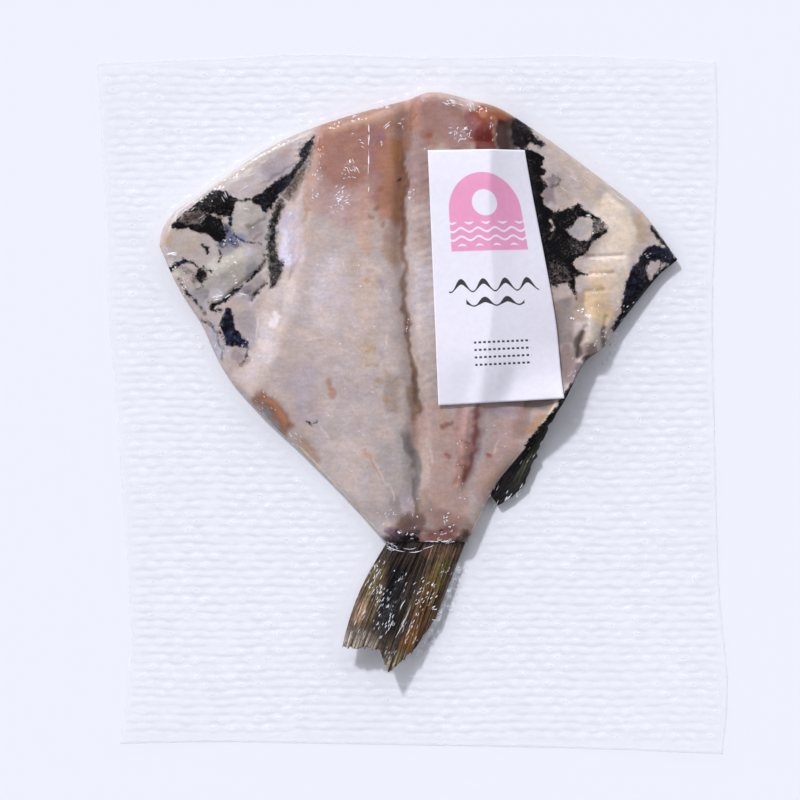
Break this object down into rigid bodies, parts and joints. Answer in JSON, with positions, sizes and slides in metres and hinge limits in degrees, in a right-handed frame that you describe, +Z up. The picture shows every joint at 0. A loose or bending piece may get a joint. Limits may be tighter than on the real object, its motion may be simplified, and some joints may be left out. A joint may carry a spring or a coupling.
{
  "type": "vacuum-packed dried rockfish",
  "caption": "Headless rockfish, opened flat with the flesh side up and half dried, sealed in a clear embossed pouch with a paper label over its backbone.",
  "frame": {"origin": "on the table under the middle of the pouch", "axes": "+Y from the tail to the nape, +Z up from the table, +X to the right as seen from above"},
  "size_m": [0.2519, 0.28, 0.016],
  "materials": {
    "film": "clear embossed pouch film, glossy",
    "fish": "half-dried pinkish grey flesh with black belly lining, moist sheen",
    "label": "uncoated white paper with a plain pink print"
  },
  "bodies": {
    "root": {"film": "film", "fish": "fish", "label": "label"}
  },
  "joints": []
}
